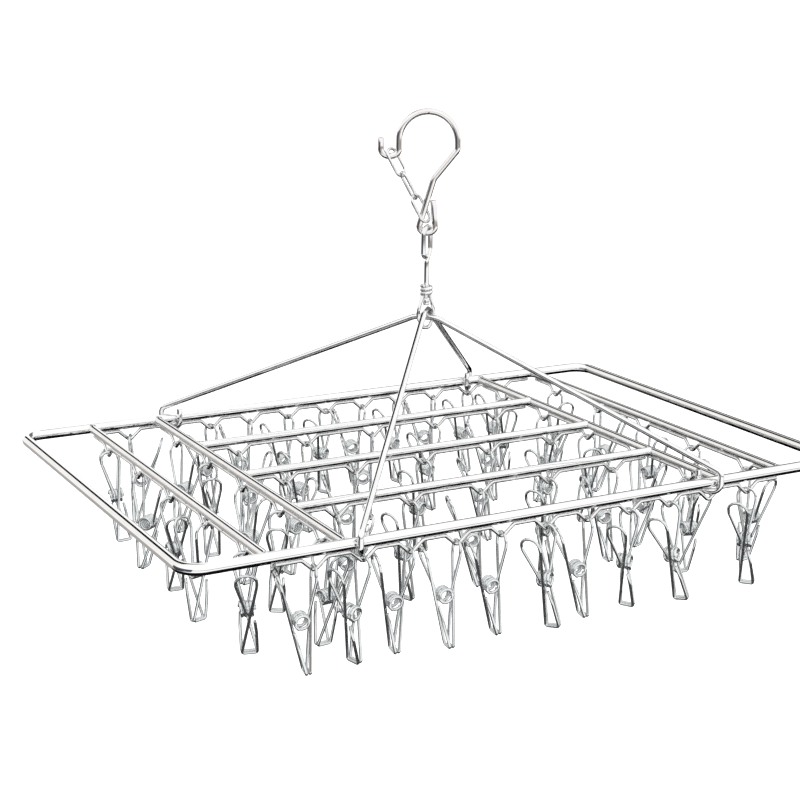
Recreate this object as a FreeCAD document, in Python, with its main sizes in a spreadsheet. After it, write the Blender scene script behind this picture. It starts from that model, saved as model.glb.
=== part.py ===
"""Hanging clothes drying rack with spring pegs, all in bent stainless steel wire and rod.

A rectangular frame carries four cross bars and three inner bars.  A wave-bent rail is welded
under nine of these bars, and every dip of a rail holds one peg.  Two bent hanger wires lift the
frame into a swivel eye, which turns on a headed rod, and the rod hangs in a large hook that goes
over a rail.  Three links of keeper chain close the mouth of the hook.

Millimetres.  X runs along the frame, Y across it and Z up.  The origin is the point inside the top
of the hook that rests on the rail, so the whole rack hangs below it.
"""
import FreeCAD
import Part
import Sketcher
import math
import os

from FreeCAD import Matrix, Placement, Rotation, Vector

# alias, value and meaning of every driving dimension
SIZES = [
    ("frame_length", 530.0, "frame length between tube centres"),
    ("frame_width", 340.0, "frame width between tube centres"),
    ("frame_corner", 15.0, "bend radius of the frame corners"),
    ("frame_tube", 8.0, "diameter of the frame tube"),
    ("bar_rod", 6.4, "diameter of cross bars and inner bars"),
    ("cross_inner", 153.0, "distance of the two inner cross bars from the middle"),
    ("cross_outer", 209.0, "distance of the two outer cross bars from the middle"),
    ("inner_pitch", 85.0, "spacing of the three inner bars"),
    ("hook_drop", 255.0, "height of the rail contact above the frame centre plane"),
    ("rail_wire", 2.8, "diameter of the wave-bent rails"),
    ("dip_depth", 7.2, "depth of each dip of a rail"),
    ("dip_slope", 42.0, "slope of the sides of a dip, degrees"),
    ("dip_bottom", 3.2, "bend radius at the bottom of a dip"),
    ("dip_shoulder", 4.0, "bend radius at the shoulders of a dip"),
    ("edge_pitch", 35.4, "dip spacing under the long edges"),
    ("edge_dips", 11, "dips under each long edge"),
    ("edge_tail", 10.0, "straight end of the long-edge rails"),
    ("cross_pitch", 65.0, "dip spacing under the cross bars"),
    ("inner_dip_pitch", 59.0, "dip spacing under the inner bars"),
    ("short_dips", 5, "dips under each cross bar and inner bar"),
    ("hanger_wire", 4.4, "diameter of the two hanger wires"),
    ("hanger_top", 108.0, "height of the upper hanger wire in the eye, above the frame"),
    ("hanger_flat", 9.0, "half length of the flat top of a hanger wire"),
    ("hanger_slot", 4, "dip, counted from the middle, in which a hanger wire sits"),
    ("eye_wire", 3.0, "wire diameter of the swivel eye"),
    ("eye_width", 13.5, "width of the swivel eye between wire centres"),
    ("eye_foot", 95.5, "lowest wire centre of the swivel eye above the frame"),
    ("collar_top", 129.6, "top of the swivel collar above the frame"),
    ("collar_length", 10.8, "length of the swivel collar"),
    ("collar_outer", 10.0, "outer diameter of the swivel collar"),
    ("rod_wire", 3.8, "diameter of the swivel rod and its upper eye"),
    ("rod_head", 4.8, "diameter of the headed lower end of the rod"),
    ("rod_end", 112.6, "lower end of the rod above the frame"),
    ("rod_eye_width", 11.4, "width of the upper eye of the rod between wire centres"),
    ("rod_eye_foot", 150.0, "foot of the upper eye above the frame"),
    ("rod_eye_turn", 63.0, "angle of the upper eye from the plane of the hook, degrees"),
    ("hook_wire", 4.8, "diameter of the hook wire"),
    ("hook_bend", 21.7, "centreline radius of the big bend of the hook"),
    ("hook_foot", 167.6, "lowest wire centre of the hook above the frame"),
    ("hook_turn", -29.0, "angle of the plane of the hook from X, degrees"),
    ("link_wire", 2.4, "wire diameter of the keeper links"),
    ("link_width", 10.4, "width of a keeper link between wire centres"),
    ("link_turn", 53.0, "angle of the end links from the plane of the hook, degrees"),
    ("peg_wire", 2.2, "diameter of the peg wire"),
    ("coil_outer", 11.4, "outer diameter of the peg coil"),
    ("coil_half", 6.1, "half length of the peg coil"),
    ("handle_rise", 36.0, "height of the handle tops above the coil centre"),
    ("handle_reach", 13.0, "distance of each handle top from the middle plane of the peg"),
    ("handle_half", 6.8, "half width of a handle loop"),
    ("jaw_drop", 36.0, "depth of the jaw tips below the coil centre"),
    ("jaw_reach", 1.25, "distance of each jaw tip from the middle plane of the peg"),
    ("jaw_half", 5.2, "half width of a jaw"),
]
GAP = 0.2          # play left between neighbouring pieces that only rest on each other
HANG_PLAY = 0.15   # play between a handle loop and the dip that it hangs in
MIDDLE_TWIST = 57  # angle of the middle keeper link from the two others, degrees
YAW_LIFT = 1.3     # how much higher a fully turned peg sits, where its loop spans the dip

# Each hanging peg: heading of its hung handle from the X axis, its tilt towards that handle,
# and how far it leans across its bar, in degrees.  None is an empty dip.
NEAR_PEGS = {-5: (-11, 6, 0), -4: (16, 6, 3), -3: (-6, 3, 3), -2: (-9, 4, -5), -1: (-6, 9, 2),
             0: (28, 13, -8), 1: (-8, 10, 1), 2: (32, 13, 0), 3: (27, 18, -10), 5: (34, 13, -4)}
FAR_PEGS = {-5: (155, 8, 0), -3: (20, 9, 2), -2: (-12, 7, 0), -1: (8, 10, -2), 0: (30, 8, 0),
            1: (-9, 6, 3), 2: (14, 9, 0), 3: (-16, 8, 0), 4: (12, 9, 0), 5: (6, 8, 0)}
CROSS_PEGS = {
    1: {-2: (69, 15, -3), -1: (286, 3, 0), 0: (78, 16, -3), 1: (126, 8, 0), 2: (255, 14, -8)},
    2: {-2: (96, 8, 0), -1: (62, 10, 2), 0: (108, 7, 0), 1: (74, 9, -2), 2: (118, 8, 0)},
    3: {-2: (84, 9, 2), -1: (112, 7, 0), 0: (66, 10, 0), 1: (98, 8, 3), 2: (72, 8, 0)},
    4: {-2: (102, 8, 0), -1: (70, 9, 0), 0: (90, 7, -3), 1: (120, 9, 0), 2: (80, 8, 2)},
}
INNER_PEGS = {
    1: {-2: (170, 9, 2), -1: (22, 8, 0), 0: (-14, 9, 0), 1: (30, 8, -2), 2: (-8, 9, 0)},
    2: {-2: (192, 8, 0), -1: (-18, 9, 2), 0: (24, 8, 0), 1: (-6, 10, 0), 2: (16, 8, -3)},
    3: {-2: (176, 8, 0), -1: (12, 9, -2), 0: (-22, 8, 0), 1: (10, 8, 2), 2: (-12, 10, 0)},
}

doc = FreeCAD.newDocument("drying_rack")
sheet = doc.addObject("Spreadsheet::Sheet", "sizes")
nodes = []


def fill_sheet():
    """Write every driving dimension into the sheet as a plain number with an alias."""
    for row, (alias, value, meaning) in enumerate(SIZES, start=1):
        sheet.set(f"A{row}", meaning)
        sheet.set(f"B{row}", str(value))
        sheet.setAlias(f"B{row}", alias)
    doc.recompute()


def size(alias):
    return float(getattr(sheet, alias))


def flat(x, y):
    return Vector(x, y, 0)


# ---------------------------------------------------------------- building blocks

def bend_path(points, radii):
    """Straight runs joined by tangent arcs; one bend radius for each inner point."""
    edges = []
    start = points[0]
    for before, corner, after, radius in zip(points, points[1:], points[2:], radii):
        into = (corner - before).normalize()
        out = (after - corner).normalize()
        turn = into.getAngle(out)
        reach = radius * math.tan(turn / 2)
        first = corner - into * reach
        last = corner + out * reach
        inward = (out - into).normalize()
        middle = corner + inward * (radius / math.cos(turn / 2) - radius)
        if (first - start).Length > 1e-6:
            edges.append(Part.LineSegment(start, first))
        edges.append(Part.Arc(first, middle, last))
        start = last
    if (points[-1] - start).Length > 1e-6:
        edges.append(Part.LineSegment(start, points[-1]))
    return edges


def closed_path(points, radius):
    """A closed outline of straight runs and equal bends, begun in the middle of its first run."""
    middle = (points[0] + points[1]) * 0.5
    loop = [middle] + points[1:] + points[:1] + [middle]
    return bend_path(loop, [radius] * len(points))


def new_body(label):
    body = doc.addObject("PartDesign::Body", label)
    body.Label = label
    nodes.append(body)
    return body


def origin_plane(body, role):
    return next(item for item in body.Origin.OriginFeatures if item.Role == role)


def plane_sketch(body, name, role, offset=None):
    """Sketch on one of the body's origin planes, moved along its normal by an expression."""
    sketch = body.newObject("Sketcher::SketchObject", name)
    sketch.AttachmentSupport = [(origin_plane(body, role), "")]
    sketch.MapMode = "FlatFace"
    if offset is not None:
        sketch.setExpression("AttachmentOffset.Base.z", offset)
    return sketch


def add_circle(sketch, diameter, centre=None):
    """Circle whose diameter, and centre distance along the sketch's X, follow the sheet."""
    index = sketch.addGeometry(Part.Circle(flat(0, 0), Vector(0, 0, 1), 1.0), False)
    number = sketch.addConstraint(Sketcher.Constraint("Diameter", index, 2.0))
    sketch.setExpression(f"Constraints[{number}]", diameter)
    if centre is None:
        sketch.addConstraint(Sketcher.Constraint("Coincident", index, 3, -1, 1))
        return
    sketch.addConstraint(Sketcher.Constraint("PointOnObject", index, 3, -1))
    number = sketch.addConstraint(Sketcher.Constraint("DistanceX", -1, 1, index, 3, 1.0))
    sketch.setExpression(f"Constraints[{number}]", centre)


def add_run(sketch, path):
    """Add a chain of lines and arcs and tie the end of each to the start of the next."""
    ends = []
    for piece in path:
        index = sketch.addGeometry(piece, False)
        begin = piece.value(piece.FirstParameter)
        forward = (sketch.getPoint(index, 1) - begin).Length < 1e-6
        ends.append((index, 1 if forward else 2, 2 if forward else 1))
    for (first, _, tail), (second, head, _) in zip(ends, ends[1:]):
        sketch.addConstraint(Sketcher.Constraint("Coincident", first, tail, second, head))
    return ends


def wire_body(label, path, diameter, role="XZ_Plane", closed=False):
    """Round wire swept along a planar path drawn on one of the body's origin planes."""
    body = new_body(label)
    add_wire(body, label, path, diameter, role, closed)
    return body


def add_wire(body, label, path, diameter, role="XZ_Plane", closed=False):
    spine = plane_sketch(body, f"{label}_path", role)
    ends = add_run(spine, path)
    if closed:
        spine.addConstraint(Sketcher.Constraint("Coincident", ends[-1][0], ends[-1][2], ends[0][0], ends[0][1]))
    doc.recompute()
    section = body.newObject("Sketcher::SketchObject", f"{label}_section")
    section.AttachmentSupport = [(spine, "Edge1")]
    section.MapMode = "NormalToEdge"
    section.MapPathParameter = 0.0
    add_circle(section, f"sizes.{diameter}")
    pipe = body.newObject("PartDesign::AdditivePipe", f"{label}_pipe")
    pipe.Profile = section
    pipe.Spine = spine
    spine.Visibility = False
    doc.recompute()
    return pipe


def round_pad(body, name, role, diameter, length, offset=None, symmetric=False, bore=None):
    """Cylinder, or tube where a bore is given, on an origin plane of the body."""
    sketch = plane_sketch(body, f"{name}_sketch", role, offset)
    add_circle(sketch, diameter)
    if bore is not None:
        add_circle(sketch, bore)
    pad = body.newObject("PartDesign::Pad", name)
    pad.Profile = sketch
    pad.setExpression("Length", length)
    if symmetric:
        pad.SideType = "Symmetric"
    doc.recompute()
    return pad


def at_frame_level(body, height="0 mm"):
    """Lower a body from the rail contact to the frame plane, plus a height above that plane."""
    body.setExpression("Placement.Base.z", f"-sizes.hook_drop * 1 mm + {height}")


# ---------------------------------------------------------------- frame, bars and rails

def make_outer_frame():
    half_length = size("frame_length") / 2
    half_width = size("frame_width") / 2
    corners = [flat(-half_length, -half_width), flat(half_length, -half_width),
               flat(half_length, half_width), flat(-half_length, half_width)]
    path = closed_path(corners, size("frame_corner"))
    body = wire_body("outer_frame", path, "frame_tube", "XY_Plane", closed=True)
    at_frame_level(body)


def make_bar(label, role, length, end_diameter, cut_role):
    """Round bar along one axis, with both ends hollowed to sit against the bars it joins."""
    body = new_body(label)
    pad = round_pad(body, f"{label}_rod", role, "sizes.bar_rod", f"{length} * 1 mm", symmetric=True)
    plain = pad.Shape.Volume
    saddle = plane_sketch(body, f"{label}_saddle", cut_role)
    add_circle(saddle, end_diameter, f"{length} / 2 * 1 mm")
    add_circle(saddle, end_diameter, f"-{length} / 2 * 1 mm")
    cut = body.newObject("PartDesign::Pocket", f"{label}_ends")
    cut.Profile = saddle
    cut.Type = "ThroughAll"
    cut.SideType = "Symmetric"
    doc.recompute()
    if body.Shape.Volume >= plain:
        raise RuntimeError(f"{label}: its ends were not hollowed")
    at_frame_level(body)
    return body


def make_cross_bars():
    for number, (alias, side) in enumerate(cross_places(), start=1):
        body = make_bar(f"cross_bar_{number}", "XZ_Plane", "sizes.frame_width", "sizes.frame_tube", "YZ_Plane")
        body.setExpression("Placement.Base.x", f"{side} * sizes.{alias} * 1 mm")


def make_inner_bars():
    for number in (1, 2, 3):
        body = make_bar(f"inner_bar_{number}", "YZ_Plane", "2 * sizes.cross_inner", "sizes.bar_rod", "XZ_Plane")
        body.setExpression("Placement.Base.y", f"{number - 2} * sizes.inner_pitch * 1 mm")


def cross_places():
    """Cross bars from left to right: the alias of their distance and their side."""
    return [("cross_outer", -1), ("cross_inner", -1), ("cross_inner", 1), ("cross_outer", 1)]


def dip_path(pitch):
    """One wave of a rail from flat to flat, with its dip in the middle and its flats at zero."""
    slope = math.radians(size("dip_slope"))
    depth = size("dip_depth")
    bottom = size("dip_bottom")
    shoulder = size("dip_shoulder")
    rounds = bottom + shoulder
    side = (depth - rounds * (1 - math.cos(slope))) / math.sin(slope)
    half = rounds * math.sin(slope) + side * math.cos(slope)
    shoulder_corner = half - shoulder * math.tan(slope / 2)
    valley = depth + bottom * (1 / math.cos(slope) - 1)
    points = [flat(-pitch / 2, 0), flat(-shoulder_corner, 0), flat(0, -valley),
              flat(shoulder_corner, 0), flat(pitch / 2, 0)]
    return bend_path(points, [shoulder, bottom, shoulder])


def make_rail(label, role, pitch, dips, bar, axis, tail=None):
    """Wave-bent rail along one axis, its flats touching the underside of its bar."""
    body = new_body(label)
    wave = add_wire(body, label, dip_path(size(pitch)), "rail_wire", role)
    section = doc.getObject(f"{label}_section")
    section.Visibility = False
    row = body.newObject("PartDesign::LinearPattern", f"{label}_waves")
    row.Originals = [wave]
    row.Direction = (origin_plane(body, axis), [""])
    row.setExpression("Length", f"sizes.{pitch} * (sizes.{dips} - 1) * 1 mm")
    row.setExpression("Occurrences", f"sizes.{dips}")
    body.Tip = row
    doc.recompute()
    if tail is not None:
        end = f"sizes.{pitch} * 1 mm / 2"
        last = f"sizes.{pitch} * 1 mm * (sizes.{dips} - 0.5)"
        round_pad(body, f"{label}_tail_far", "YZ_Plane", "sizes.rail_wire", f"sizes.{tail} * 1 mm", last)
        pad = round_pad(body, f"{label}_tail_near", "YZ_Plane", "sizes.rail_wire",
                        f"sizes.{tail} * 1 mm", f"-{end}")
        pad.Reversed = True
        doc.recompute()
    at_frame_level(body, f"-(sizes.{bar} + sizes.rail_wire) / 2 * 1 mm")
    return body


def make_rails():
    for label, side in (("edge_rail_near", -1), ("edge_rail_far", 1)):
        body = make_rail(label, "XZ_Plane", "edge_pitch", "edge_dips", "frame_tube", "X_Axis", "edge_tail")
        body.setExpression("Placement.Base.x", "-sizes.edge_pitch * (sizes.edge_dips - 1) / 2 * 1 mm")
        body.setExpression("Placement.Base.y", f"{side} * sizes.frame_width / 2 * 1 mm")
    for number, (alias, side) in enumerate(cross_places(), start=1):
        body = make_rail(f"cross_rail_{number}", "YZ_Plane", "cross_pitch", "short_dips", "bar_rod", "Y_Axis")
        body.setExpression("Placement.Base.x", f"{side} * sizes.{alias} * 1 mm")
        body.setExpression("Placement.Base.y", "-sizes.cross_pitch * (sizes.short_dips - 1) / 2 * 1 mm")
    for number in (1, 2, 3):
        body = make_rail(f"inner_rail_{number}", "XZ_Plane", "inner_dip_pitch", "short_dips", "bar_rod", "X_Axis")
        body.setExpression("Placement.Base.x", "-sizes.inner_dip_pitch * (sizes.short_dips - 1) / 2 * 1 mm")
        body.setExpression("Placement.Base.y", f"{number - 2} * sizes.inner_pitch * 1 mm")


# ---------------------------------------------------------------- hanger, swivel and hook

def hanger_end(across, top):
    """Half of a hanger wire: from its free tip, round the frame tube, up to the flat top."""
    reach = math.hypot(size("edge_pitch") * size("hanger_slot"), size("frame_width") / 2)
    slant = (size("frame_width") / 2) / reach
    beside = ((size("frame_tube") + size("hanger_wire")) / 2 + GAP) / slant
    below = -(size("frame_tube") + size("hanger_wire")) / 2 - GAP
    tip_height = 9.0
    shoulder_height = 8.0
    points = [flat(reach - beside, tip_height), flat(reach - beside, below),
              flat(reach + beside, below), flat(reach + beside, shoulder_height),
              flat(size("hanger_flat"), top)]
    return [flat(across * point.x, point.y) for point in points]


def make_hanger_wires():
    """Two diagonal wires that cross in the swivel eye, the second one just under the first."""
    angle = math.degrees(math.atan2(size("frame_width") / 2, size("edge_pitch") * size("hanger_slot")))
    tube_bend = 6.0
    shoulder_bend = 5.0
    top_bend = 12.0
    for number, (side, layer) in enumerate(((1, 0), (-1, 1)), start=1):
        top = size("hanger_top") - layer * (size("hanger_wire") + GAP)
        points = hanger_end(-1, top) + hanger_end(1, top)[::-1]
        radii = [tube_bend, tube_bend, shoulder_bend, top_bend]
        path = bend_path(points, radii + radii[::-1])
        body = wire_body(f"hanger_wire_{number}", path, "hanger_wire")
        body.Placement = Placement(Vector(0, 0, 0), Rotation(Vector(0, 0, 1), side * angle))
        at_frame_level(body)


def make_swivel_eye():
    """Teardrop eye under a close-wound collar, which turns on the rod."""
    body = new_body("swivel_eye")
    half = size("eye_width") / 2
    foot = size("eye_foot")
    collar_foot = size("collar_top") - size("collar_length")
    wrap = (size("collar_outer") - size("eye_wire")) / 2
    shoulder_drop, side_rise = 11.0, 7.5
    narrow = 2.6
    side = [flat(wrap, collar_foot + size("eye_wire") / 2), flat(half, collar_foot - shoulder_drop),
            flat(half - 0.15, foot + side_rise), flat(narrow, foot)]
    other_side = [flat(-point.x, point.y) for point in side]
    leg_bend, side_bend, foot_bend = 9.0, 6.0, 3.2
    radii = [leg_bend, side_bend, foot_bend]
    path = bend_path(other_side + side[::-1], radii + radii[::-1])
    add_wire(body, "swivel_eye", path, "eye_wire")
    round_pad(body, "swivel_collar", "XY_Plane", "sizes.collar_outer", "sizes.collar_length * 1 mm",
              "(sizes.collar_top - sizes.collar_length) * 1 mm", bore="sizes.rod_wire + 0.2")
    at_frame_level(body)


def make_swivel_rod():
    """Headed rod with an upper eye that hangs in the foot of the hook."""
    body = new_body("swivel_rod")
    half = size("rod_eye_width") / 2
    top = size("hook_foot") + (size("hook_wire") + size("rod_wire")) / 2 + 1.5 * GAP
    foot = size("rod_eye_foot")
    corners = [flat(-half, foot), flat(-half, top), flat(half, top), flat(half, foot)]
    add_wire(body, "rod_eye", closed_path(corners, half - 0.01), "rod_wire", closed=True)
    round_pad(body, "rod_shank", "XY_Plane", "sizes.rod_wire",
              "(sizes.rod_eye_foot - sizes.rod_end) * 1 mm", "sizes.rod_end * 1 mm")
    round_pad(body, "rod_head", "XY_Plane", "sizes.rod_head",
              "(sizes.collar_top - sizes.collar_length - sizes.rod_end) * 1 mm - 0.2 mm", "sizes.rod_end * 1 mm")
    body.Placement = Placement(Vector(0, 0, 0), Rotation(Vector(0, 0, 1), size("hook_turn") + size("rod_eye_turn")))
    at_frame_level(body)


def hook_points():
    """Corners of the hook's centreline and its bend radii, in its own plane above the frame."""
    bend = size("hook_bend")
    crown = size("hook_drop") + size("hook_wire") / 2
    foot = size("hook_foot")
    corners = [
        (flat(-34.9, foot + 70.4), None),
        (flat(-34.9, foot + 56.0), 6.0),
        (flat(-bend, foot + 57.8), 5.0),
        (flat(-bend, crown), bend - 0.01),
        (flat(bend, crown), bend - 0.01),
        (flat(bend, foot + 61.9), 6.0),
        (flat(4.3, foot + 40.2), 9.0),
        (flat(-7.6, foot), 5.2),
        (flat(6.3, foot), 5.2),
        (flat(4.3, foot + 24.6), None),
    ]
    points = [point for point, _ in corners]
    radii = [radius for _, radius in corners[1:-1]]
    return points, radii


def make_top_hook():
    points, radii = hook_points()
    body = wire_body("top_hook", bend_path(points, radii), "hook_wire")
    body.Placement = Placement(Vector(0, 0, 0), Rotation(Vector(0, 0, 1), size("hook_turn")))
    at_frame_level(body)


def keeper_line():
    """Ends of the keeper chain in the plane of the hook: inside the small hook and the foot."""
    foot = size("hook_foot")
    small_hook = flat(-28.6, foot + 62.1)
    foot_side = flat(0.3, foot + 8.6)
    return small_hook, foot_side


def make_keeper_links():
    """Three oblong links in a straight line, the middle one turned across the others."""
    start, end = keeper_line()
    along = (end - start).normalize()
    overlap = size("link_wire") + 0.15
    length = ((end - start).Length + 2 * overlap) / 3
    half = size("link_width") / 2
    corners = [flat(-half, 0), flat(-half, length), flat(half, length), flat(half, 0)]
    to_line = Rotation(Vector(0, 1, 0), math.degrees(math.atan2(along.x, -along.y)) * -1)
    turn_hook = Rotation(Vector(0, 0, 1), size("hook_turn"))
    for number in range(3):
        label = f"keeper_link_{number + 1}"
        body = wire_body(label, closed_path(corners, half - 0.01), "link_wire", closed=True)
        twist = size("link_turn") + (MIDDLE_TWIST if number == 1 else 0)
        lower = start + along * (length + number * (length - overlap))
        place = turn_hook.multVec(Vector(lower.x, 0, lower.y))
        spin = Rotation(Vector(0, 0, 1), twist)
        body.Placement = Placement(place, turn_hook * to_line * spin)
        body.setExpression("Placement.Base.z", f"{lower.y} mm - sizes.hook_drop * 1 mm")


# ---------------------------------------------------------------- pegs

def sweep_wire(points, radii, diameter):
    """Solid round wire along straight runs and tangent arcs that need not lie in one plane."""
    path = Part.Wire([edge.toShape() for edge in bend_path(points, radii)])
    first = points[1] - points[0]
    profile = Part.Wire([Part.makeCircle(diameter / 2, points[0], first)])
    return path.makePipeShell([profile], True, True)


def coil_sleeve(low, high):
    """The closely wound turns of a peg as a short tube about the X axis."""
    outer = size("coil_outer") / 2
    inner = outer - size("peg_wire")
    start = Vector(low, 0, 0)
    axis = Vector(1, 0, 0)
    return Part.makeCylinder(outer, high - low, start, axis).cut(Part.makeCylinder(inner, high - low, start, axis))


def arm_offset(height):
    """Distance of an arm from the middle plane of the peg, at a height above the coil centre."""
    rise = size("handle_rise")
    drop = size("jaw_drop")
    slope = (size("handle_reach") - size("jaw_reach")) / (rise + drop)
    return size("jaw_reach") + slope * (height + drop)


def arm_wire():
    """One arm: from the coil up, round the handle loop, down across to the jaw, and back up."""
    rise = size("handle_rise")
    drop = size("jaw_drop")
    handle = size("handle_half")
    jaw = size("jaw_half")
    wound = (size("coil_outer") - size("peg_wire")) / 2

    def on_arm(x, height):
        return Vector(x, arm_offset(height), height)

    points = [Vector(1.4, wound + 0.1, 2.0), on_arm(handle, rise - 9), on_arm(handle, rise), on_arm(-handle, rise),
              on_arm(-handle, rise - 10), on_arm(jaw, -drop), on_arm(-jaw, -drop), on_arm(-jaw, -drop + 19),
              on_arm(-4.4, -6.0)]
    return sweep_wire(points, [8.0, 6.4, 6.4, 14.0, 1.6, 1.6, 5.0], size("peg_wire"))


def make_arm():
    """One arm of a peg with its half of the coil."""
    split = 0.1
    return arm_wire().fuse(coil_sleeve(split, size("coil_half"))).removeSplitter()


def make_whole_peg():
    """Both arms and the whole coil as one solid."""
    wire = arm_wire()
    other = wire.copy()
    other.rotate(Vector(0, 0, 0), Vector(0, 0, 1), 180)
    half = size("coil_half")
    return coil_sleeve(-half, half).fuse([wire, other]).removeSplitter()


def dip_height(bar):
    """Height of the wire centre at the bottom of a dip, below the frame plane."""
    return -(size(bar) + size("rail_wire")) / 2 - size("dip_depth")


def peg_placement(dip, along, heading, tilt, lean):
    """Placement of a peg whose hung handle loop rests in a dip of a bar along X or Y."""
    natural = 0.0 if along == "X" else 90.0
    yaw = abs(math.sin(math.radians(heading - natural)))
    lift = (size("rail_wire") + size("peg_wire")) / 2 + HANG_PLAY + YAW_LIFT * max(0.0, yaw - 0.15)
    handle = Vector(0, size("handle_reach"), size("handle_rise"))
    tilted = Rotation(Vector(1, 0, 0), tilt)
    headed = Rotation(Vector(0, 0, 1), heading - 90)
    bar_axis = Vector(1, 0, 0) if along == "X" else Vector(0, 1, 0)
    leaned = Rotation(bar_axis, lean)
    turned = leaned * headed * tilted
    spot = dip + Vector(0, 0, lift)
    return Placement(spot - turned.multVec(handle), turned)


def rail_dip(bar, x, y):
    return Vector(x, y, dip_height(bar) - size("hook_drop"))


def new_feature(label, shape, placement=None):
    feature = doc.addObject("Part::Feature", label)
    feature.Label = label
    feature.Shape = shape
    if placement is not None:
        feature.Placement = placement
    nodes.append(feature)


def make_near_pegs():
    """The pegs of the near edge, each in two arms that turn about the axis of the coil."""
    arm = make_arm()
    half_turn = Placement(Vector(0, 0, 0), Rotation(Vector(0, 0, 1), 180))
    for number, (slot, (heading, tilt, lean)) in enumerate(sorted(NEAR_PEGS.items()), start=1):
        dip = rail_dip("frame_tube", slot * size("edge_pitch"), -size("frame_width") / 2)
        place = peg_placement(dip, "X", heading, tilt, lean)
        new_feature(f"peg_{number:02d}_hung_arm", arm, place)
        new_feature(f"peg_{number:02d}_free_arm", arm, place.multiply(half_turn))


def make_peg_row(label, peg, along, dips):
    """A row of whole pegs as separate solids of one node."""
    row = []
    for dip, (heading, tilt, lean) in dips:
        copy = peg.copy()
        copy.Placement = peg_placement(dip, along, heading, tilt, lean)
        row.append(copy)
    new_feature(label, Part.makeCompound(row))


def make_peg_rows():
    peg = make_whole_peg()
    far = [(rail_dip("frame_tube", slot * size("edge_pitch"), size("frame_width") / 2), pose)
           for slot, pose in sorted(FAR_PEGS.items())]
    make_peg_row("far_pegs", peg, "X", far)
    for number, (alias, side) in enumerate(cross_places(), start=1):
        dips = [(rail_dip("bar_rod", side * size(alias), slot * size("cross_pitch")), pose)
                for slot, pose in sorted(CROSS_PEGS[number].items())]
        make_peg_row(f"cross_pegs_{number}", peg, "Y", dips)
    for number in (1, 2, 3):
        dips = [(rail_dip("bar_rod", slot * size("inner_dip_pitch"), (number - 2) * size("inner_pitch")), pose)
                for slot, pose in sorted(INNER_PEGS[number].items())]
        make_peg_row(f"inner_pegs_{number}", peg, "X", dips)


# ---------------------------------------------------------------- whole rack

def check_document():
    """Stop if any object failed to compute or any sub-part has no valid shape."""
    for item in doc.Objects:
        if "Invalid" in item.State or "Error" in item.State:
            raise RuntimeError(f"{item.Label}: {item.State}")
    for node in nodes:
        if node.Shape.isNull() or not node.Shape.isValid():
            raise RuntimeError(f"{node.Label}: no valid shape")


def write_parts():
    os.makedirs("parts", exist_ok=True)
    for node in nodes:
        node.Shape.exportStep(f"parts/{node.Label}.step")
        print(f"{node.Label}: {len(node.Shape.Solids)} solids, {node.Shape.Volume:.0f} mm3")


def main():
    fill_sheet()
    make_outer_frame()
    make_cross_bars()
    make_inner_bars()
    make_rails()
    make_hanger_wires()
    make_swivel_eye()
    make_swivel_rod()
    make_top_hook()
    make_keeper_links()
    make_near_pegs()
    make_peg_rows()
    doc.recompute()
    check_document()
    write_parts()


main()
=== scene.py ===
"""Looks of the hanging drying rack: bent stainless wire and tube, with real coils on every peg."""
import math

import bpy
import numpy as np
from mathutils import Matrix, Vector


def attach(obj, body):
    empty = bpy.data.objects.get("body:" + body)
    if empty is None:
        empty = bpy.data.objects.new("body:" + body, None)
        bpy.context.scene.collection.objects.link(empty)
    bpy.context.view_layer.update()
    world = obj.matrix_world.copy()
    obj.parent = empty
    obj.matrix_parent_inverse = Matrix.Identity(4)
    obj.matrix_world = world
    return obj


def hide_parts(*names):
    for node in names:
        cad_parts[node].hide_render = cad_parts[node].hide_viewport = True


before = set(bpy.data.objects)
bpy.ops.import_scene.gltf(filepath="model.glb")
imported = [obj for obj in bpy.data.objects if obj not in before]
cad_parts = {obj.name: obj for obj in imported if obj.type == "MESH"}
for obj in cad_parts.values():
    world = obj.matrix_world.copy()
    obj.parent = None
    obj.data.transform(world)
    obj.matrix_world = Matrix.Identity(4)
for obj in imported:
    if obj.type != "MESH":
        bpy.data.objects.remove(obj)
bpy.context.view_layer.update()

MM = 0.001

# ---------------------------------------------------------------- sizes, in millimetres
HOOK_DROP = 255.0
FRAME_X, FRAME_Y = 265.0, 170.0
FRAME_R, BAR_R, RAIL_R = 4.0, 3.2, 1.4
CORNER = 15.0
CROSS_X = (-209.0, -153.0, 153.0, 209.0)
INNER_Y = (-85.0, 0.0, 85.0)
EDGE_PITCH, CROSS_PITCH, INNER_PITCH = 35.4, 65.0, 59.0
DIP_DEPTH, DIP_SLOPE, DIP_BOTTOM, DIP_SHOULDER = 7.2, math.radians(42.0), 3.2, 4.0
HANGER_R, HANGER_TOP = 2.2, 108.0
EYE_R, EYE_WIDTH, EYE_FOOT = 1.5, 13.5, 95.5
COLLAR_OUTER, COLLAR_LENGTH, COLLAR_TOP = 10.0, 10.8, 129.6
ROD_R, ROD_EYE_WIDTH, ROD_EYE_FOOT = 1.9, 11.4, 150.0
HOOK_R, HOOK_BOW, HOOK_FOOT = 2.4, 21.7, 167.6
HOOK_TURN, ROD_TURN = math.radians(-29.0), math.radians(34.0)
LINK_R, LINK_WIDTH = 1.2, 10.4
LINK_TWISTS = (53.0, 110.0, 53.0)
PEG_R, COIL_R, COIL_END = 1.1, 4.6, 5.0
HANDLE_TOP, JAW_FOOT = 36.0, -36.0
HANDLE_SPREAD, JAW_SPREAD = 13.0, 1.25
GAP = 0.2

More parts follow.
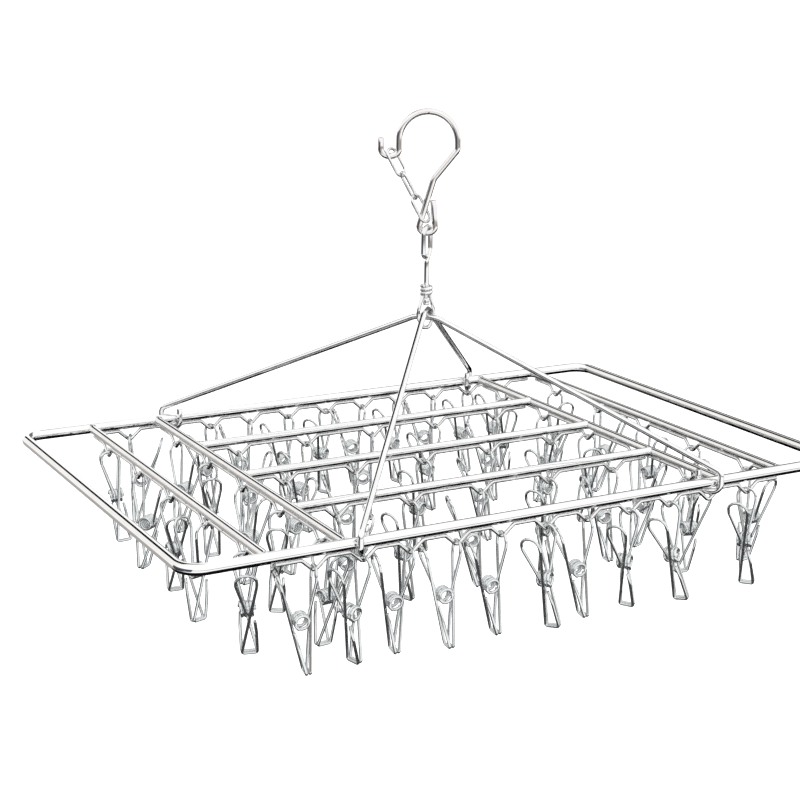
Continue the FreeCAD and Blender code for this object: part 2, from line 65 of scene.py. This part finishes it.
# how each peg hangs, by dip counted from the middle: heading, tilt and lean in degrees
NEAR_PEGS = {-5: (-11, 6, 0), -4: (16, 6, 3), -3: (-6, 3, 3), -2: (-9, 4, -5), -1: (-6, 9, 2),
             0: (28, 13, -8), 1: (-8, 10, 1), 2: (32, 13, 0), 3: (27, 18, -10), 5: (34, 13, -4)}
FAR_PEGS = {-5: (155, 8, 0), -3: (20, 9, 2), -2: (-12, 7, 0), -1: (8, 10, -2), 0: (30, 8, 0),
            1: (-9, 6, 3), 2: (14, 9, 0), 3: (-16, 8, 0), 4: (12, 9, 0), 5: (6, 8, 0)}
CROSS_PEGS = {
    1: {-2: (69, 15, -3), -1: (286, 3, 0), 0: (78, 16, -3), 1: (126, 8, 0), 2: (255, 14, -8)},
    2: {-2: (96, 8, 0), -1: (62, 10, 2), 0: (108, 7, 0), 1: (74, 9, -2), 2: (118, 8, 0)},
    3: {-2: (84, 9, 2), -1: (112, 7, 0), 0: (66, 10, 0), 1: (98, 8, 3), 2: (72, 8, 0)},
    4: {-2: (102, 8, 0), -1: (70, 9, 0), 0: (90, 7, -3), 1: (120, 9, 0), 2: (80, 8, 2)},
}
INNER_PEGS = {
    1: {-2: (170, 9, 2), -1: (22, 8, 0), 0: (-14, 9, 0), 1: (30, 8, -2), 2: (-8, 9, 0)},
    2: {-2: (192, 8, 0), -1: (-18, 9, 2), 0: (24, 8, 0), 1: (-6, 10, 0), 2: (16, 8, -3)},
    3: {-2: (176, 8, 0), -1: (12, 9, -2), 0: (-22, 8, 0), 1: (10, 8, 2), 2: (-12, 10, 0)},
}


# ---------------------------------------------------------------- lines
def vec(*numbers):
    return np.array(numbers, float)


def unit(v):
    return v / np.linalg.norm(v)


def bend(points, radii, step=7.0):
    """Points along straight runs joined by tangent arcs, one bend radius for each inner point."""
    points = [np.array(p, float) for p in points]
    line = [points[0]]
    for before, corner, after, radius in zip(points, points[1:], points[2:], radii):
        into, out = unit(corner - before), unit(after - corner)
        turn = math.acos(max(-1.0, min(1.0, float(into @ out))))
        reach = radius * math.tan(turn / 2)
        first = corner - into * reach
        centre = corner + unit(out - into) * (radius / math.cos(turn / 2))
        arm = first - centre
        count = max(2, int(math.degrees(turn) / step))
        for k in range(count + 1):
            angle = turn * k / count
            line.append(centre + arm * math.cos(angle) + into * radius * math.sin(angle))
    line.append(points[-1])
    kept = [line[0]]
    for p in line[1:]:
        if np.linalg.norm(p - kept[-1]) > 1e-3:
            kept.append(p)
    return np.array(kept)


def in_plane(flat_line, turn, lift=-HOOK_DROP):
    """A line of (s, height) pairs stood upright in a plane turned about the vertical."""
    flat_line = np.array(flat_line, float)
    s, z = flat_line[:, 0], flat_line[:, 1]
    return np.stack([s * math.cos(turn), s * math.sin(turn), z + lift], 1)


# ---------------------------------------------------------------- meshes
def carry_frames(line, closed):
    """A side direction at each point, carried along the line without twist."""
    count = len(line)
    if closed:
        tangents = [unit(line[(k + 1) % count] - line[k - 1]) for k in range(count)]
    else:
        tangents = [unit(line[min(k + 1, count - 1)] - line[max(k - 1, 0)]) for k in range(count)]
    seed = vec(0, 0, 1) if abs(tangents[0][2]) < 0.9 else vec(1, 0, 0)
    side = unit(seed - tangents[0] * (seed @ tangents[0]))
    sides = [side]
    for k in range(1, count):
        axis = np.cross(tangents[k - 1], tangents[k])
        sine = np.linalg.norm(axis)
        if sine > 1e-9:
            axis = axis / sine
            angle = math.atan2(sine, float(tangents[k - 1] @ tangents[k]))
            side = (side * math.cos(angle) + np.cross(axis, side) * math.sin(angle)
                    + axis * (axis @ side) * (1 - math.cos(angle)))
        side = unit(side - tangents[k] * (side @ tangents[k]))
        sides.append(side)
    if closed:
        last, first = sides[-1], sides[0]
        flat_first = unit(first - tangents[-1] * (first @ tangents[-1]))
        drift = math.atan2(float(np.cross(last, flat_first) @ tangents[-1]), float(last @ flat_first))
        turned = []
        for k in range(count):
            angle = drift * k / count
            turned.append(sides[k] * math.cos(angle) + np.cross(tangents[k], sides[k]) * math.sin(angle))
        sides = turned
    return tangents, sides


class Wires:
    """Swept wires collected into one mesh."""

    def __init__(self):
        self.points, self.faces, self.uvs, self.smooth = [], [], [], []

    def sweep(self, line, radius, sides=16, closed=False, chamfer=0.25):
        """A round wire along the line; radius is one number, or one for each point."""
        line = np.array(line, float)
        radii = np.full(len(line), float(radius)) if np.isscalar(radius) else np.array(radius, float)
        if not closed and chamfer > 0:
            for _ in range(2):
                into = unit(line[1] - line[0])
                inset = [line[0], line[0] + into * chamfer * 0.35, line[0] + into * chamfer]
                ring = [radii[0] - chamfer, radii[0] - chamfer * 0.35, radii[0]]
                line = np.concatenate([inset, line[1:]])[::-1]
                radii = np.concatenate([ring, radii[1:]])[::-1]
        tangents, across = carry_frames(line, closed)
        start = len(self.points)
        count = len(line)
        along = np.concatenate([[0], np.cumsum(np.linalg.norm(np.diff(line, axis=0), axis=1))])
        for k in range(count):
            other = np.cross(tangents[k], across[k])
            for m in range(sides):
                angle = 2 * math.pi * m / sides
                outward = across[k] * math.cos(angle) + other * math.sin(angle)
                self.points.append(line[k] + radii[k] * outward)
        for k in range(count if closed else count - 1):
            nxt = (k + 1) % count
            low = along[k]
            high = along[k + 1] if k + 1 < count else along[-1] + np.linalg.norm(line[0] - line[-1])
            for m in range(sides):
                n = (m + 1) % sides
                self.faces.append((start + k * sides + m, start + k * sides + n,
                                   start + nxt * sides + n, start + nxt * sides + m))
                self.uvs.append(((m / sides, low), ((m + 1) / sides, low),
                                 ((m + 1) / sides, high), (m / sides, high)))
                self.smooth.append(True)
        if not closed:
            for ring, flip in ((0, True), (count - 1, False)):
                face = [start + ring * sides + m for m in range(sides)]
                self.faces.append(tuple(face[::-1] if flip else face))
                self.uvs.append(tuple((0.5, along[ring]) for _ in face))
                self.smooth.append(False)

    def mesh(self, name):
        """All the wires as one Blender mesh in metres, with turns and length as its UVs."""
        data = bpy.data.meshes.new(name)
        data.from_pydata([tuple(p * MM) for p in self.points], [], self.faces)
        layer = data.uv_layers.new(name="wire")
        flat = [c for face in self.uvs for corner in face for c in (corner[0], corner[1] * 0.02)]
        layer.data.foreach_set("uv", flat)
        data.polygons.foreach_set("use_smooth", self.smooth)
        data.validate()
        data.update()
        return data


def put(name, data, material, body, nodes, matrix=None):
    """A piece of the rack: its mesh, its finish, and the moving body that carries it."""
    if matrix is not None:
        data = data.copy()
        data.transform(matrix)
    piece = bpy.data.objects.new(name, data)
    bpy.context.scene.collection.objects.link(piece)
    data.materials.append(material)
    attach(piece, body)
    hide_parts(*nodes)


# ---------------------------------------------------------------- materials
def steel(name, dark, bright, rough, warmth=0.0, metal=1.0):
    """Polished stainless steel: faint cloudy tone, fine drawing lines along the wire, soft uneven gloss."""
    material = bpy.data.materials.new(name)
    material.use_nodes = True
    nodes, links = material.node_tree.nodes, material.node_tree.links
    shader = nodes["Principled BSDF"]
    shader.inputs["Metallic"].default_value = metal
    shader.inputs["IOR"].default_value = 2.5
    place = nodes.new("ShaderNodeTexCoord")
    cloud = nodes.new("ShaderNodeTexNoise")
    cloud.inputs["Scale"].default_value = 55.0
    cloud.inputs["Detail"].default_value = 4.0
    links.new(place.outputs["Object"], cloud.inputs["Vector"])
    tone = nodes.new("ShaderNodeValToRGB")
    tone.color_ramp.elements[0].position = 0.3
    tone.color_ramp.elements[1].position = 0.7
    tone.color_ramp.elements[0].color = (dark + warmth, dark, dark - warmth * 0.5, 1)
    tone.color_ramp.elements[1].color = (bright + warmth, bright, bright, 1)
    links.new(cloud.outputs["Fac"], tone.inputs["Fac"])
    links.new(tone.outputs["Color"], shader.inputs["Base Color"])
    stretch = nodes.new("ShaderNodeMapping")
    stretch.inputs["Scale"].default_value = (26.0, 30.0, 1.0)
    links.new(place.outputs["UV"], stretch.inputs["Vector"])
    lines = nodes.new("ShaderNodeTexNoise")
    lines.inputs["Scale"].default_value = 1.0
    lines.inputs["Detail"].default_value = 3.0
    links.new(stretch.outputs["Vector"], lines.inputs["Vector"])
    gloss = nodes.new("ShaderNodeMapRange")
    gloss.inputs["From Min"].default_value = 0.3
    gloss.inputs["From Max"].default_value = 0.7
    gloss.inputs["To Min"].default_value = rough * 0.75
    gloss.inputs["To Max"].default_value = rough * 1.35
    links.new(lines.outputs["Fac"], gloss.inputs["Value"])
    links.new(gloss.outputs["Result"], shader.inputs["Roughness"])
    bump = nodes.new("ShaderNodeBump")
    bump.inputs["Strength"].default_value = 0.05
    bump.inputs["Distance"].default_value = 0.00004
    links.new(lines.outputs["Fac"], bump.inputs["Height"])
    links.new(bump.outputs["Normal"], shader.inputs["Normal"])
    return material


TUBE = steel("steel_tube", 0.84, 0.90, 0.035)
ROD = steel("steel_rod", 0.82, 0.89, 0.044)
WIRE = steel("steel_wire", 0.80, 0.88, 0.050)
HANGER = steel("steel_hanger", 0.80, 0.88, 0.050)
SWIVEL = steel("steel_swivel", 0.76, 0.86, 0.061)
HOOK = steel("steel_hook", 0.76, 0.84, 0.12, warmth=0.02)
CHAIN = steel("steel_chain", 0.76, 0.86, 0.061)
SPRING = steel("steel_spring", 0.70, 0.84, 0.07, warmth=-0.02, metal=0.94)


# ---------------------------------------------------------------- frame, bars and rails
def make_frame():
    """The closed rectangle of tube, from the middle of the near side round to it again."""
    corners = [(0, -FRAME_Y), (FRAME_X, -FRAME_Y), (FRAME_X, FRAME_Y), (-FRAME_X, FRAME_Y),
               (-FRAME_X, -FRAME_Y), (0, -FRAME_Y)]
    line = bend([vec(x, y, -HOOK_DROP) for x, y in corners], [CORNER] * 4, step=4.0)[:-1]
    wires = Wires()
    wires.sweep(line, FRAME_R, sides=40, closed=True)
    put("frame_tube", wires.mesh("frame_tube"), TUBE, "rack", ["outer_frame"])


def flared(start, end, wall):
    """A straight bar whose ends swell a little into the weld at the tube it meets."""
    length = np.linalg.norm(end - start)
    along = unit(end - start)
    steps = [0, wall, wall + 0.5, wall + 1.2, wall + 2.2]
    swell = [0.55, 0.55, 0.32, 0.1, 0]
    places = steps + [length - s for s in steps[::-1]]
    extra = swell + swell[::-1]
    return [start + along * s for s in places], [BAR_R + e for e in extra]


def make_bar(node, start, end, wall):
    """One straight bar; wall is the length of its ends that lies inside what they meet."""
    line, radii = flared(start, end, wall)
    wires = Wires()
    wires.sweep(line, radii, sides=32, chamfer=0)
    put(f"{node}_rod", wires.mesh(node), ROD, "rack", [node])


def make_bars():
    """Cross bars and inner bars, whose ends reach a little short of the middle of what they meet."""
    short = 1.0
    reach = FRAME_Y - short
    for number, x in enumerate(CROSS_X, start=1):
        make_bar(f"cross_bar_{number}", vec(x, -reach, -HOOK_DROP), vec(x, reach, -HOOK_DROP), FRAME_R - 1.3)
    reach = CROSS_X[2] - short
    for number, y in enumerate(INNER_Y, start=1):
        make_bar(f"inner_bar_{number}", vec(-reach, y, -HOOK_DROP), vec(reach, y, -HOOK_DROP), BAR_R - 1.2)


def wave(pitch, dips, tail):
    """Side view of a rail: straight flats with an evenly spaced round-bottomed dip under each slot."""
    rounds = DIP_BOTTOM + DIP_SHOULDER
    side = (DIP_DEPTH - rounds * (1 - math.cos(DIP_SLOPE))) / math.sin(DIP_SLOPE)
    half = rounds * math.sin(DIP_SLOPE) + side * math.cos(DIP_SLOPE)
    shoulder = half - DIP_SHOULDER * math.tan(DIP_SLOPE / 2)
    valley = DIP_DEPTH + DIP_BOTTOM * (1 / math.cos(DIP_SLOPE) - 1)
    first = -(dips - 1) / 2 * pitch
    corners, radii = [(first - pitch / 2 - tail, 0)], []
    for k in range(dips):
        middle = first + k * pitch
        corners += [(middle - shoulder, 0), (middle, -valley), (middle + shoulder, 0)]
        radii += [DIP_SHOULDER, DIP_BOTTOM, DIP_SHOULDER]
    corners.append((-first + pitch / 2 + tail, 0))
    return bend(corners, radii, step=6.0), [first + (k - 0.5) * pitch for k in range(dips + 1)]


def make_rail(node, along, across, pitch, dips, bar_r, tail):
    """A wave-bent rail under its bar, with a small weld at the middle of every flat."""
    flat, welds = wave(pitch, dips, tail)
    z = -HOOK_DROP - bar_r - RAIL_R
    weld_half = 2.6
    end_margin = 3.0

    def stand(s, h):
        return vec(s, across, z + h) if along == "X" else vec(across, s, z + h)

    wires = Wires()
    wires.sweep([stand(s, h) for s, h in flat], RAIL_R, sides=16, chamfer=0.3)
    for s in welds:
        s = min(max(s, flat[0][0] + end_margin), flat[-1][0] - end_margin)
        offsets = np.linspace(-weld_half, weld_half, 9)
        swell = [0.15 + 1.25 * math.sqrt(max(0.0, 1 - (o / weld_half) ** 2)) for o in offsets]
        wires.sweep([stand(s + o, RAIL_R + 0.1) for o in offsets], swell, sides=12, chamfer=0)
    put(f"{node}_wire", wires.mesh(node), WIRE, "rack", [node])


def make_rails():
    """A rail under each long side, each cross bar and each inner bar."""
    make_rail("edge_rail_near", "X", -FRAME_Y, EDGE_PITCH, 11, FRAME_R, tail=10.0)
    make_rail("edge_rail_far", "X", FRAME_Y, EDGE_PITCH, 11, FRAME_R, tail=10.0)
    for number, x in enumerate(CROSS_X, start=1):
        make_rail(f"cross_rail_{number}", "Y", x, CROSS_PITCH, 5, BAR_R, tail=0.0)
    for number, y in enumerate(INNER_Y, start=1):
        make_rail(f"inner_rail_{number}", "X", y, INNER_PITCH, 5, BAR_R, tail=0.0)


# ---------------------------------------------------------------- hanger wires, swivel and hook
def make_hangers():
    """Two diagonal wires hooked round the long tubes; they cross one above the other in the eye."""
    reach = math.hypot(EDGE_PITCH * 4, FRAME_Y)
    slant = FRAME_Y / reach
    beside = (FRAME_R + HANGER_R + GAP) / slant
    below = -(FRAME_R + HANGER_R) - GAP
    angle = math.atan2(FRAME_Y, EDGE_PITCH * 4)
    for number, (side, layer) in enumerate(((1, 0), (-1, 1)), start=1):
        top = HANGER_TOP - layer * (2 * HANGER_R + GAP)
        half = [(reach - beside, 9.0), (reach - beside, below), (reach + beside, below),
                (reach + beside, 8.0), (9.0, top)]
        points = [(-x, z) for x, z in half] + half[::-1]
        radii = [6.0, 6.0, 5.0, 12.0]
        line = in_plane(bend(points, radii + radii[::-1], step=5.0), side * angle)
        wires = Wires()
        wires.sweep(line, HANGER_R, sides=22, chamfer=0.4)
        put(f"hanger_wire_{number}_rod", wires.mesh("hanger"), HANGER, "rack",
            [f"hanger_wire_{number}"])


def make_swivel_eye():
    """The eye wire: a narrow-footed loop whose end is wound in turns round the rod."""
    half = EYE_WIDTH / 2
    collar_foot = COLLAR_TOP - COLLAR_LENGTH
    wrap = COLLAR_OUTER / 2 - EYE_R
    side = [(wrap, collar_foot + EYE_R), (half, collar_foot - 11.0), (half - 0.15, EYE_FOOT + 7.5),
            (2.6, EYE_FOOT)]
    other_side = [(-across, height) for across, height in side]
    radii = [9.0, 6.0, 3.2]
    leg = bend(other_side + side[::-1], radii + radii[::-1], step=6.0)
    loop = in_plane(leg, 0.0)
    climb = COLLAR_LENGTH - 2 * EYE_R
    turns = climb / (2 * EYE_R)
    winding = []
    count = 90
    for k in range(1, count + 1):
        angle = 2 * math.pi * turns * k / count
        winding.append(vec(wrap * math.cos(angle), wrap * math.sin(angle),
                           collar_foot + EYE_R + climb * k / count - HOOK_DROP))
    wires = Wires()
    wires.sweep(np.concatenate([loop, winding]), EYE_R, sides=18, chamfer=0.3)
    put("swivel_eye_wire", wires.mesh("swivel_eye"), SWIVEL, "eye", ["swivel_eye"])


def make_swivel_rod():
    """The headed rod, bent round at its top into an eye whose tip comes back to the shank."""
    half, foot = ROD_EYE_WIDTH / 2, ROD_EYE_FOOT
    top = HOOK_FOOT + HOOK_R + ROD_R + 1.5 * GAP
    line = bend([(0, 113.2), (0, 146.6), (half, foot + 4.6), (half, top), (-half, top), (-half, foot),
                 (-1.6, foot)], [5.0, 5.0, half - 0.01, half - 0.01, 3.6], step=6.0)
    wires = Wires()
    wires.sweep(in_plane(line, ROD_TURN), ROD_R, sides=20, chamfer=0.3)
    head = [(0, 112.6), (0, 113.0), (0, 113.7), (0, 114.9), (0, 118.1), (0, 118.5)]
    wires.sweep(in_plane(head, ROD_TURN), [1.7, 2.2, 2.4, 2.4, 2.4, 2.1], sides=20, chamfer=0)
    put("swivel_rod_wire", wires.mesh("swivel_rod"), SWIVEL, "rod", ["swivel_rod"])


def make_hook():
    """From the small hook at the tip, over the large bow, down to the hooked foot."""
    bow, foot = HOOK_BOW, HOOK_FOOT
    crown = HOOK_DROP + HOOK_R
    points = [(-34.9, foot + 70.4), (-34.9, foot + 56.0), (-bow, foot + 57.8), (-bow, crown), (bow, crown),
              (bow, foot + 61.9), (4.3, foot + 40.2), (-7.6, foot), (6.3, foot), (4.3, foot + 24.6)]
    line = bend(points, [6.0, 5.0, bow - 0.01, bow - 0.01, 6.0, 9.0, 5.2, 5.2], step=4.0)
    wires = Wires()
    wires.sweep(in_plane(line, HOOK_TURN), HOOK_R, sides=26, chamfer=0.45)
    put("top_hook_wire", wires.mesh("top_hook"), HOOK, "hook", ["top_hook"])


def make_links():
    """Three oblong links, each closed by a small weld on one side."""
    start, end = vec(-28.6, HOOK_FOOT + 62.1), vec(0.3, HOOK_FOOT + 8.6)
    along = unit(end - start)
    overlap = 2 * LINK_R + 0.15
    length = (np.linalg.norm(end - start) + 2 * overlap) / 3
    half = LINK_WIDTH / 2
    corners = [(-half, length / 2), (-half, 0), (half, 0), (half, length), (-half, length),
               (-half, length / 2)]
    oval = bend(corners, [half - 0.01] * 4, step=8.0)[:-1]
    down = vec(along[0], 0, along[1])
    across = vec(-along[1], 0, along[0])
    spin_hook = np.array([[math.cos(HOOK_TURN), -math.sin(HOOK_TURN), 0],
                          [math.sin(HOOK_TURN), math.cos(HOOK_TURN), 0], [0, 0, 1]])
    for number, degrees in enumerate(LINK_TWISTS):
        twist = math.radians(degrees)
        side = across * math.cos(twist) + np.cross(-down, across) * math.sin(twist)
        lower = vec(start[0], 0, start[1]) + down * (length + number * (length - overlap))
        line = [spin_hook @ (lower + side * s - down * t) + vec(0, 0, -HOOK_DROP) for s, t in oval]
        wires = Wires()
        wires.sweep(line, LINK_R, sides=16, closed=True)
        seam = [line[0] + unit(line[-1] - line[1]) * o for o in (-1.1, -0.6, 0, 0.6, 1.1)]
        wires.sweep(seam, [1.15, 1.3, 1.36, 1.3, 1.15], sides=14, chamfer=0)
        put(f"keeper_link_{number + 1}_wire", wires.mesh("keeper_link"), CHAIN, "keeper_chain",
            [f"keeper_link_{number + 1}"])


# ---------------------------------------------------------------- pegs
def arm_offset(height):
    """How far an arm stands from the middle of the peg at this height."""
    share = (height - JAW_FOOT) / (HANDLE_TOP - JAW_FOOT)
    return JAW_SPREAD + (HANDLE_SPREAD - JAW_SPREAD) * share


def arm_line():
    """One arm of a peg: up from the coil, round the handle loop, down across to the jaw, back up."""
    def on_arm(x, height):
        return vec(x, arm_offset(height), height)

    handle, jaw = 6.8, 5.2
    points = [vec(1.4, COIL_R, -0.2), vec(1.4, COIL_R + 0.35, 2.6), on_arm(handle, 27),
              on_arm(handle, HANDLE_TOP), on_arm(-handle, HANDLE_TOP), on_arm(-handle, 26),
              on_arm(jaw, JAW_FOOT), on_arm(-jaw, JAW_FOOT), on_arm(-jaw, -17), on_arm(-4.4, -6)]
    return bend(points, [6.0, 8.0, 6.4, 6.4, 14.0, 1.6, 1.6, 5.0], step=10.0)


def coil_line(low, high, start_angle):
    """Closely wound turns about X from one end of the coil to the other."""
    pitch = 2 * PEG_R + 0.03
    turns = (high - low) / pitch
    count = max(12, int(turns * 22))
    line = []
    for k in range(count + 1):
        angle = start_angle + 2 * math.pi * turns * k / count
        line.append(vec(low + (high - low) * k / count, COIL_R * math.cos(angle), COIL_R * math.sin(angle)))
    return line


def half_turned(line):
    """The line turned half round about Z."""
    return line * vec(-1, -1, 1)


def peg_half():
    """One arm with its half of the coil."""
    wires = Wires()
    wires.sweep(arm_line(), PEG_R, sides=12, chamfer=0.2)
    wires.sweep(coil_line(1.2, COIL_END, -0.3), PEG_R, sides=12, chamfer=0.2)
    return wires


def whole_peg():
    """Both arms and the whole coil."""
    wires = Wires()
    wires.sweep(arm_line(), PEG_R, sides=12, chamfer=0.2)
    wires.sweep(half_turned(arm_line()), PEG_R, sides=12, chamfer=0.2)
    wires.sweep(coil_line(-COIL_END, COIL_END, -0.3), PEG_R, sides=12, chamfer=0.2)
    return wires


def peg_matrix(dip, along, heading, tilt, lean):
    """Where a peg hangs: its handle loop over the bottom of a dip, turned, tilted and leaning."""
    natural = 0.0 if along == "X" else 90.0
    yaw = abs(math.sin(math.radians(heading - natural)))
    lift = RAIL_R + PEG_R + 0.15 + 1.3 * max(0.0, yaw - 0.15)
    turned = (Matrix.Rotation(math.radians(lean), 3, along)
              @ Matrix.Rotation(math.radians(heading - 90), 3, "Z")
              @ Matrix.Rotation(math.radians(tilt), 3, "X"))
    spot = Vector(dip) + Vector((0, 0, lift))
    base = spot - turned @ Vector((0, HANDLE_SPREAD, HANDLE_TOP))
    return Matrix.Translation(base * MM) @ turned.to_4x4()


def dip_at(bar_r, x, y):
    """Bottom of the dip in the rail under a bar of this radius."""
    return (x, y, -HOOK_DROP - bar_r - RAIL_R - DIP_DEPTH)


def make_pegs():
    """The near pegs in two arms that open, and the rows of whole pegs."""
    half = peg_half().mesh("peg_half")
    whole = whole_peg().mesh("peg_whole")
    turned = Matrix.Rotation(math.pi, 4, "Z")
    for number, (slot_at, pose) in enumerate(sorted(NEAR_PEGS.items()), start=1):
        place = peg_matrix(dip_at(FRAME_R, slot_at * EDGE_PITCH, -FRAME_Y), "X", *pose)
        body = f"peg_{number:02d}"
        put(f"{body}_hung", half, SPRING, body, [f"{body}_hung_arm"], place)
        put(f"{body}_free", half, SPRING, f"{body}_free", [f"{body}_free_arm"], place @ turned)

    def row(label, body, node, along, dips):
        """The pegs of one rail, which swing together."""
        for number, (dip, pose) in enumerate(dips, start=1):
            put(f"{label}_{number}", whole, SPRING, body, [node], peg_matrix(dip, along, *pose))

    row("far_peg", "far_row", "far_pegs", "X",
        [(dip_at(FRAME_R, s * EDGE_PITCH, FRAME_Y), pose) for s, pose in sorted(FAR_PEGS.items())])
    for number, x in enumerate(CROSS_X, start=1):
        row(f"cross_peg_{number}", f"cross_row_{number}", f"cross_pegs_{number}", "Y",
            [(dip_at(BAR_R, x, s * CROSS_PITCH), pose) for s, pose in sorted(CROSS_PEGS[number].items())])
    for number, y in enumerate(INNER_Y, start=1):
        row(f"inner_peg_{number}", f"inner_row_{number}", f"inner_pegs_{number}", "X",
            [(dip_at(BAR_R, s * INNER_PITCH, y), pose) for s, pose in sorted(INNER_PEGS[number].items())])


# ---------------------------------------------------------------- studio
class Graph:
    """Small helper for arithmetic in a node tree."""

    def __init__(self, tree):
        self.tree = tree

    def math(self, kind, a, b):
        node = self.tree.nodes.new("ShaderNodeMath")
        node.operation = kind
        for socket, value in zip(node.inputs, (a, b)):
            if isinstance(value, (int, float)):
                socket.default_value = value
            else:
                self.tree.links.new(value, socket)
        return node.outputs[0]

    def rise(self, value, edge, soft):
        """0 below the edge and 1 above it."""
        node = self.tree.nodes.new("ShaderNodeMapRange")
        node.interpolation_type = "SMOOTHSTEP"
        node.inputs["From Min"].default_value = edge - soft
        node.inputs["From Max"].default_value = edge + soft
        self.tree.links.new(value, node.inputs["Value"])
        return node.outputs["Result"]

    def below(self, value, edge, soft):
        """1 below the edge and 0 above it."""
        return self.math("SUBTRACT", 1.0, self.rise(value, edge, soft))

    def band(self, value, low, high, soft):
        """1 between the two edges."""
        return self.math("MULTIPLY", self.rise(value, low, soft), self.below(value, high, soft))

    def both(self, *masks):
        """1 where every mask is 1."""
        out = masks[0]
        for mask in masks[1:]:
            out = self.math("MULTIPLY", out, mask)
        return out

    def shade(self, level, mask, depth):
        """Level darkened by depth where the mask is 1."""
        return self.math("MULTIPLY", level, self.math("SUBTRACT", 1.0, self.math("MULTIPLY", mask, depth)))


def make_world():
    """White room with dark cards at its edges, which draw the dark lines on the steel."""
    brightness = 1.16
    world = bpy.data.worlds.new("studio")
    bpy.context.scene.world = world
    world.use_nodes = True
    tree = world.node_tree
    tree.nodes.clear()
    g = Graph(tree)
    place = tree.nodes.new("ShaderNodeTexCoord")
    split = tree.nodes.new("ShaderNodeSeparateXYZ")
    tree.links.new(place.outputs["Generated"], split.inputs[0])
    x, y, z = split.outputs
    levels = [g.math("ADD", 1.0, 0.0) for _ in range(3)]

    def card(mask, colour):
        """A card of this colour where the mask is 1."""
        for k in range(3):
            levels[k] = g.shade(levels[k], mask, 1.0 - colour[k])

    # dark card under the rack, leaning back a little
    lean = unit(vec(0.2, 0.2, -0.96))
    parts = [g.math("MULTIPLY", axis, share) for axis, share in zip((x, y, z), lean)]
    facing = g.math("ADD", g.math("ADD", parts[0], parts[1]), parts[2])
    card(g.both(g.rise(facing, 0.46, 0.03), g.below(y, 0.8, 0.05)), (0.004, 0.004, 0.005))
    # back of the room: an upright slot, a low wall, and the two sides
    back = g.rise(y, 0.45, 0.06)
    side = g.math("DIVIDE", x, g.math("MAXIMUM", y, 0.05))
    slant = g.math("DIVIDE", x, g.math("MAXIMUM", z, 0.05))
    card(g.both(back, g.band(slant, -0.34, 0.4, 0.04), g.band(z, 0.22, 0.85, 0.05)), (0.012, 0.012, 0.012))
    low = g.both(g.rise(y, -0.05, 0.15), g.band(z, -0.7, -0.14, 0.04))
    card(g.both(low, g.rise(x, 0.3, 0.05)), (0.17, 0.165, 0.16))
    card(g.both(low, g.below(x, 0.3, 0.05)), (0.38, 0.37, 0.36))
    card(g.both(back, g.rise(side, 0.5, 0.04), g.band(z, -0.16, 0.6, 0.05)), (0.16, 0.155, 0.15))
    card(g.both(back, g.below(side, -0.17, 0.02), g.band(z, -0.16, 0.9, 0.03)), (0.9, 0.88, 0.86))
    # horizon in front, and a card on the left
    front = g.below(y, -0.3, 0.1)
    card(g.both(front, g.band(z, -0.17, -0.02, 0.03)), (0.3, 0.28, 0.26))
    card(g.both(g.below(x, -0.72, 0.03), g.band(z, -0.5, 0.2, 0.03)), (0.08, 0.09, 0.11))
    # only reflections see the cards: the room itself is white
    seen = tree.nodes.new("ShaderNodeLightPath").outputs["Is Camera Ray"]
    tint = tree.nodes.new("ShaderNodeCombineColor")
    for socket, level in zip(tint.inputs, levels):
        tree.links.new(g.math("MAXIMUM", level, seen), socket)
    shade = tree.nodes.new("ShaderNodeBackground")
    tree.links.new(tint.outputs[0], shade.inputs["Color"])
    shade.inputs["Strength"].default_value = brightness
    out = tree.nodes.new("ShaderNodeOutputWorld")
    tree.links.new(shade.outputs[0], out.inputs[0])


def make_floor():
    """Pale round floor far below the hanging rack."""
    count, radius, height = 96, 500.0, -1.0
    points = [(0, 0, height)] + [(radius * math.cos(2 * math.pi * k / count),
                                  radius * math.sin(2 * math.pi * k / count), height) for k in range(count)]
    faces = [(0, k + 1, (k + 1) % count + 1) for k in range(count)]
    data = bpy.data.meshes.new("floor")
    data.from_pydata(points, [], faces)
    floor = bpy.data.objects.new("floor", data)
    bpy.context.scene.collection.objects.link(floor)
    material = bpy.data.materials.new("floor_paint")
    material.use_nodes = True
    shader = material.node_tree.nodes["Principled BSDF"]
    shader.inputs["Base Color"].default_value = (0.9, 0.9, 0.9, 1)
    shader.inputs["Roughness"].default_value = 0.9
    shader.inputs["Specular IOR Level"].default_value = 0.0
    shader.inputs["Emission Color"].default_value = (1, 1, 1, 1)
    shader.inputs["Emission Strength"].default_value = 0.6
    data.materials.append(material)
    floor.visible_glossy = False


def make_camera():
    """Camera in front of the left end, a little above the rack."""
    yaw, pitch, roll = math.radians(-28.918), math.radians(14.681), math.radians(0.564)
    data = bpy.data.cameras.new("view")
    data.sensor_width = 36.0
    data.lens = 76.827
    data.clip_end = 1500.0
    data.dof.use_dof = False
    camera = bpy.data.objects.new("view", data)
    back = vec(math.sin(yaw) * math.cos(pitch), -math.cos(yaw) * math.cos(pitch), math.sin(pitch))
    right = unit(np.cross(vec(0, 0, 1), back))
    up = np.cross(back, right)
    c, s = math.cos(roll), math.sin(roll)
    right, up = right * c + up * s, up * c - right * s
    matrix = Matrix.Identity(4)
    for row in range(3):
        matrix[row][0], matrix[row][1], matrix[row][2] = right[row], up[row], back[row]
    matrix.translation = (-0.62810, -1.09771, 0.36969 - HOOK_DROP * MM)
    camera.matrix_world = matrix
    bpy.context.scene.collection.objects.link(camera)
    bpy.context.scene.camera = camera


make_frame()
make_bars()
make_rails()
make_hangers()
make_swivel_eye()
make_swivel_rod()
make_hook()
make_links()
make_pegs()
make_world()
make_floor()
make_camera()
bpy.context.scene.view_settings.view_transform = "Standard"

bpy.context.view_layer.update()
